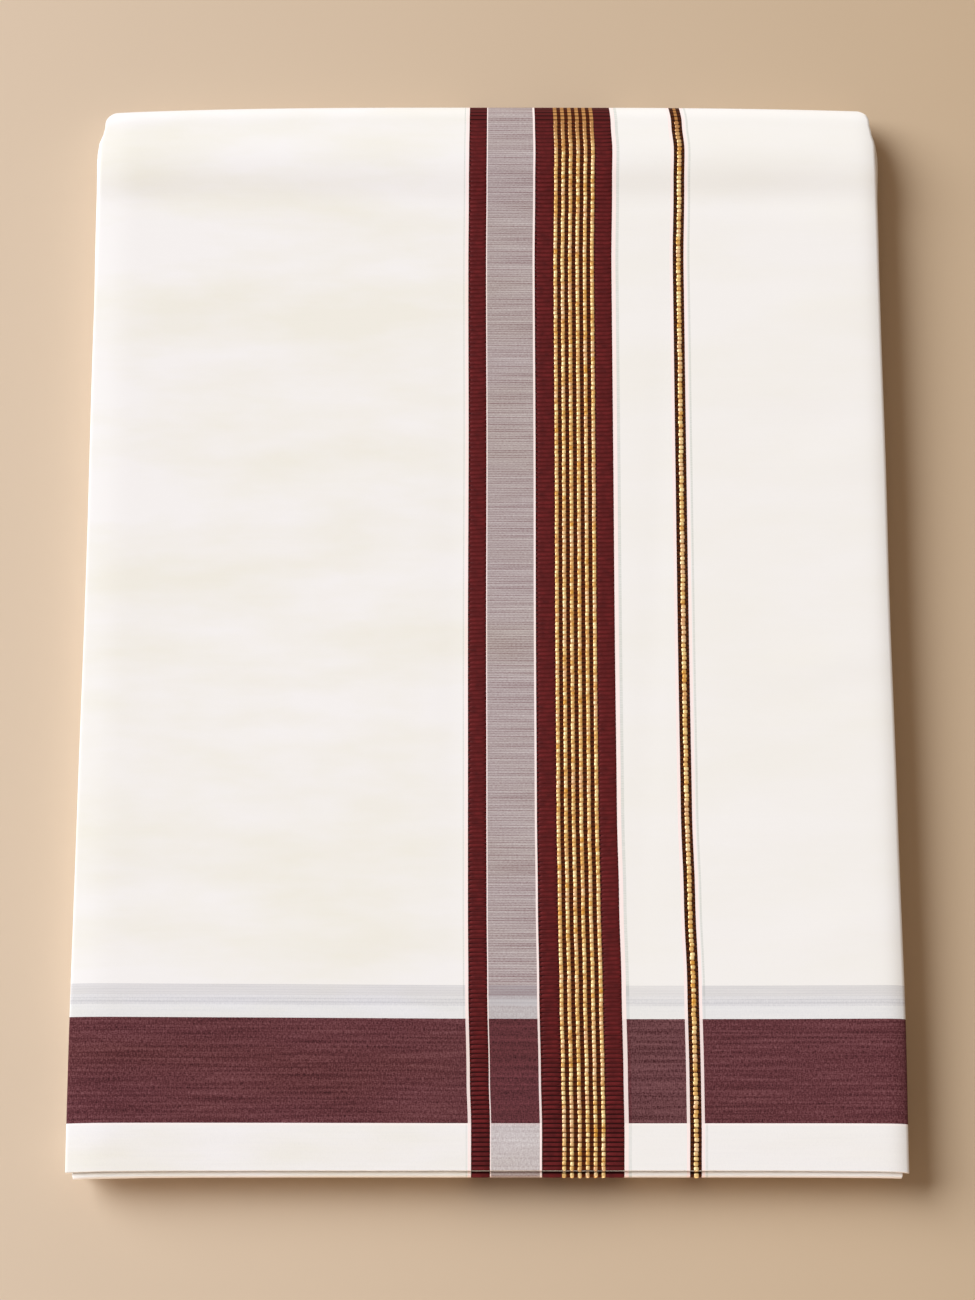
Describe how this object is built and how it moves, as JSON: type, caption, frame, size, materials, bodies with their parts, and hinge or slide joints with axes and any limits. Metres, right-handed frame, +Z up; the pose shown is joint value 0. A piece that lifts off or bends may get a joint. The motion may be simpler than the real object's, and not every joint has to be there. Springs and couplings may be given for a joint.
{
  "type": "folded dhoti cloth",
  "caption": "Off-white cotton dhoti folded flat into a rectangular bundle, with a maroon and gold woven border, a maroon cross band and a rounded back fold.",
  "frame": {"origin": "middle of the bundle's underside, on the surface it lies on", "axes": "+X across the bundle, to the right seen from its cut end; +Y from the cut end to the big back fold; +Z up"},
  "size_m": [0.3193, 0.4458, 0.0173],
  "materials": {
    "outer_cloth": "fine plain-weave cotton, matt, with a maroon, mauve and gold border and a maroon cross band",
    "second_cloth": "fine plain-weave cotton, matt, with the same border",
    "inner_cloth": "fine plain-weave cotton, matt"
  },
  "bodies": {
    "root": {"outer_leaf": "outer_cloth", "second_fold": "second_cloth", "inner_folds": "inner_cloth"}
  },
  "joints": []
}
